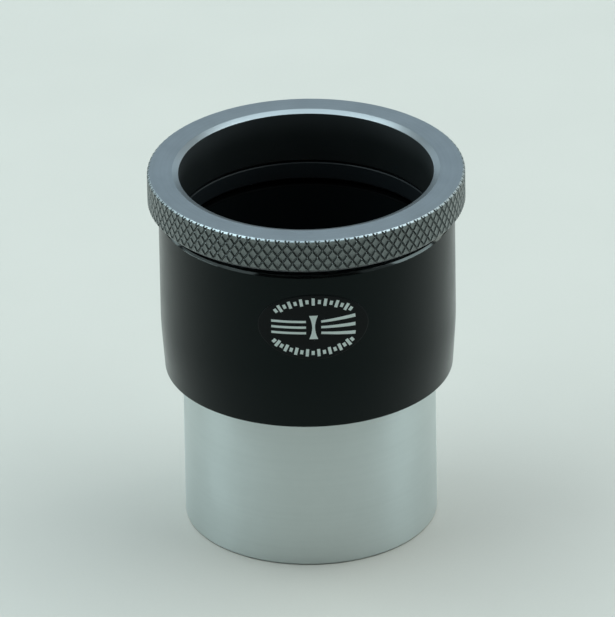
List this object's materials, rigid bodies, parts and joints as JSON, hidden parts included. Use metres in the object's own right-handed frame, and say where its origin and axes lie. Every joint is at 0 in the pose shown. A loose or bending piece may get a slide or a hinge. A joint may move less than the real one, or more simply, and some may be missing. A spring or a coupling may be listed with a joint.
{
  "type": "telescope barlow lens",
  "caption": "Two-inch telescope barlow that holds an eyepiece: knurled twist-lock ring over a split collet, black housing, satin nose barrel with an air-spaced doublet.",
  "frame": {"origin": "centre of the nose barrel's open lower end, which the part stands on", "axes": "+Z along the optical axis, out of the eyepiece socket; -Y towards the badge"},
  "size_m": [0.0636, 0.0636, 0.0762],
  "materials": {
    "housing_black": "black anodised, fine blasted satin",
    "ring_grey": "dark grey anodised, diamond knurl, fine turned top face",
    "washer_nylon": "black nylon",
    "collet_acetal": "black acetal, turned",
    "barrel_satin": "satin, fine turning lines round the barrel",
    "cell_black": "matte black anodised",
    "lens_glass": "polished, anti-reflection coated",
    "foil": "thin foil",
    "cushion_rubber": "nitrile",
    "baffle_black": "flat optical black",
    "badge_film": null
  },
  "bodies": {
    "tube_assembly": {"housing": "housing_black", "collet": "collet_acetal", "nose_barrel": "barrel_satin", "lens_cell": "cell_black", "flint_lens": "lens_glass", "crown_lens": "lens_glass", "foil_tab_1": "foil", "foil_tab_2": "foil", "foil_tab_3": "foil", "cushion_ring": "cushion_rubber", "lens_retainer": "cell_black", "baffle_ring": "baffle_black", "badge": "badge_film"},
    "thrust_washer": {"slip_washer": "washer_nylon"},
    "twist_ring": {"lock_ring": "ring_grey"}
  },
  "joints": [
    {"name": "ring_travel", "type": "slide", "parent": "tube_assembly", "child": "thrust_washer", "axis": [0, 0, -1], "range_m": [0, 0.001], "deforming": ["collet"]},
    {"name": "ring_turn", "type": "hinge", "parent": "thrust_washer", "child": "twist_ring", "pos_m": [0, 0, 0.0727], "axis": [0, 0, -1], "range_deg": [0, 360]}
  ],
  "couplings": [
    {"joint": "ring_travel", "follows": "ring_turn", "m_per_rad": 0.00015915}
  ]
}
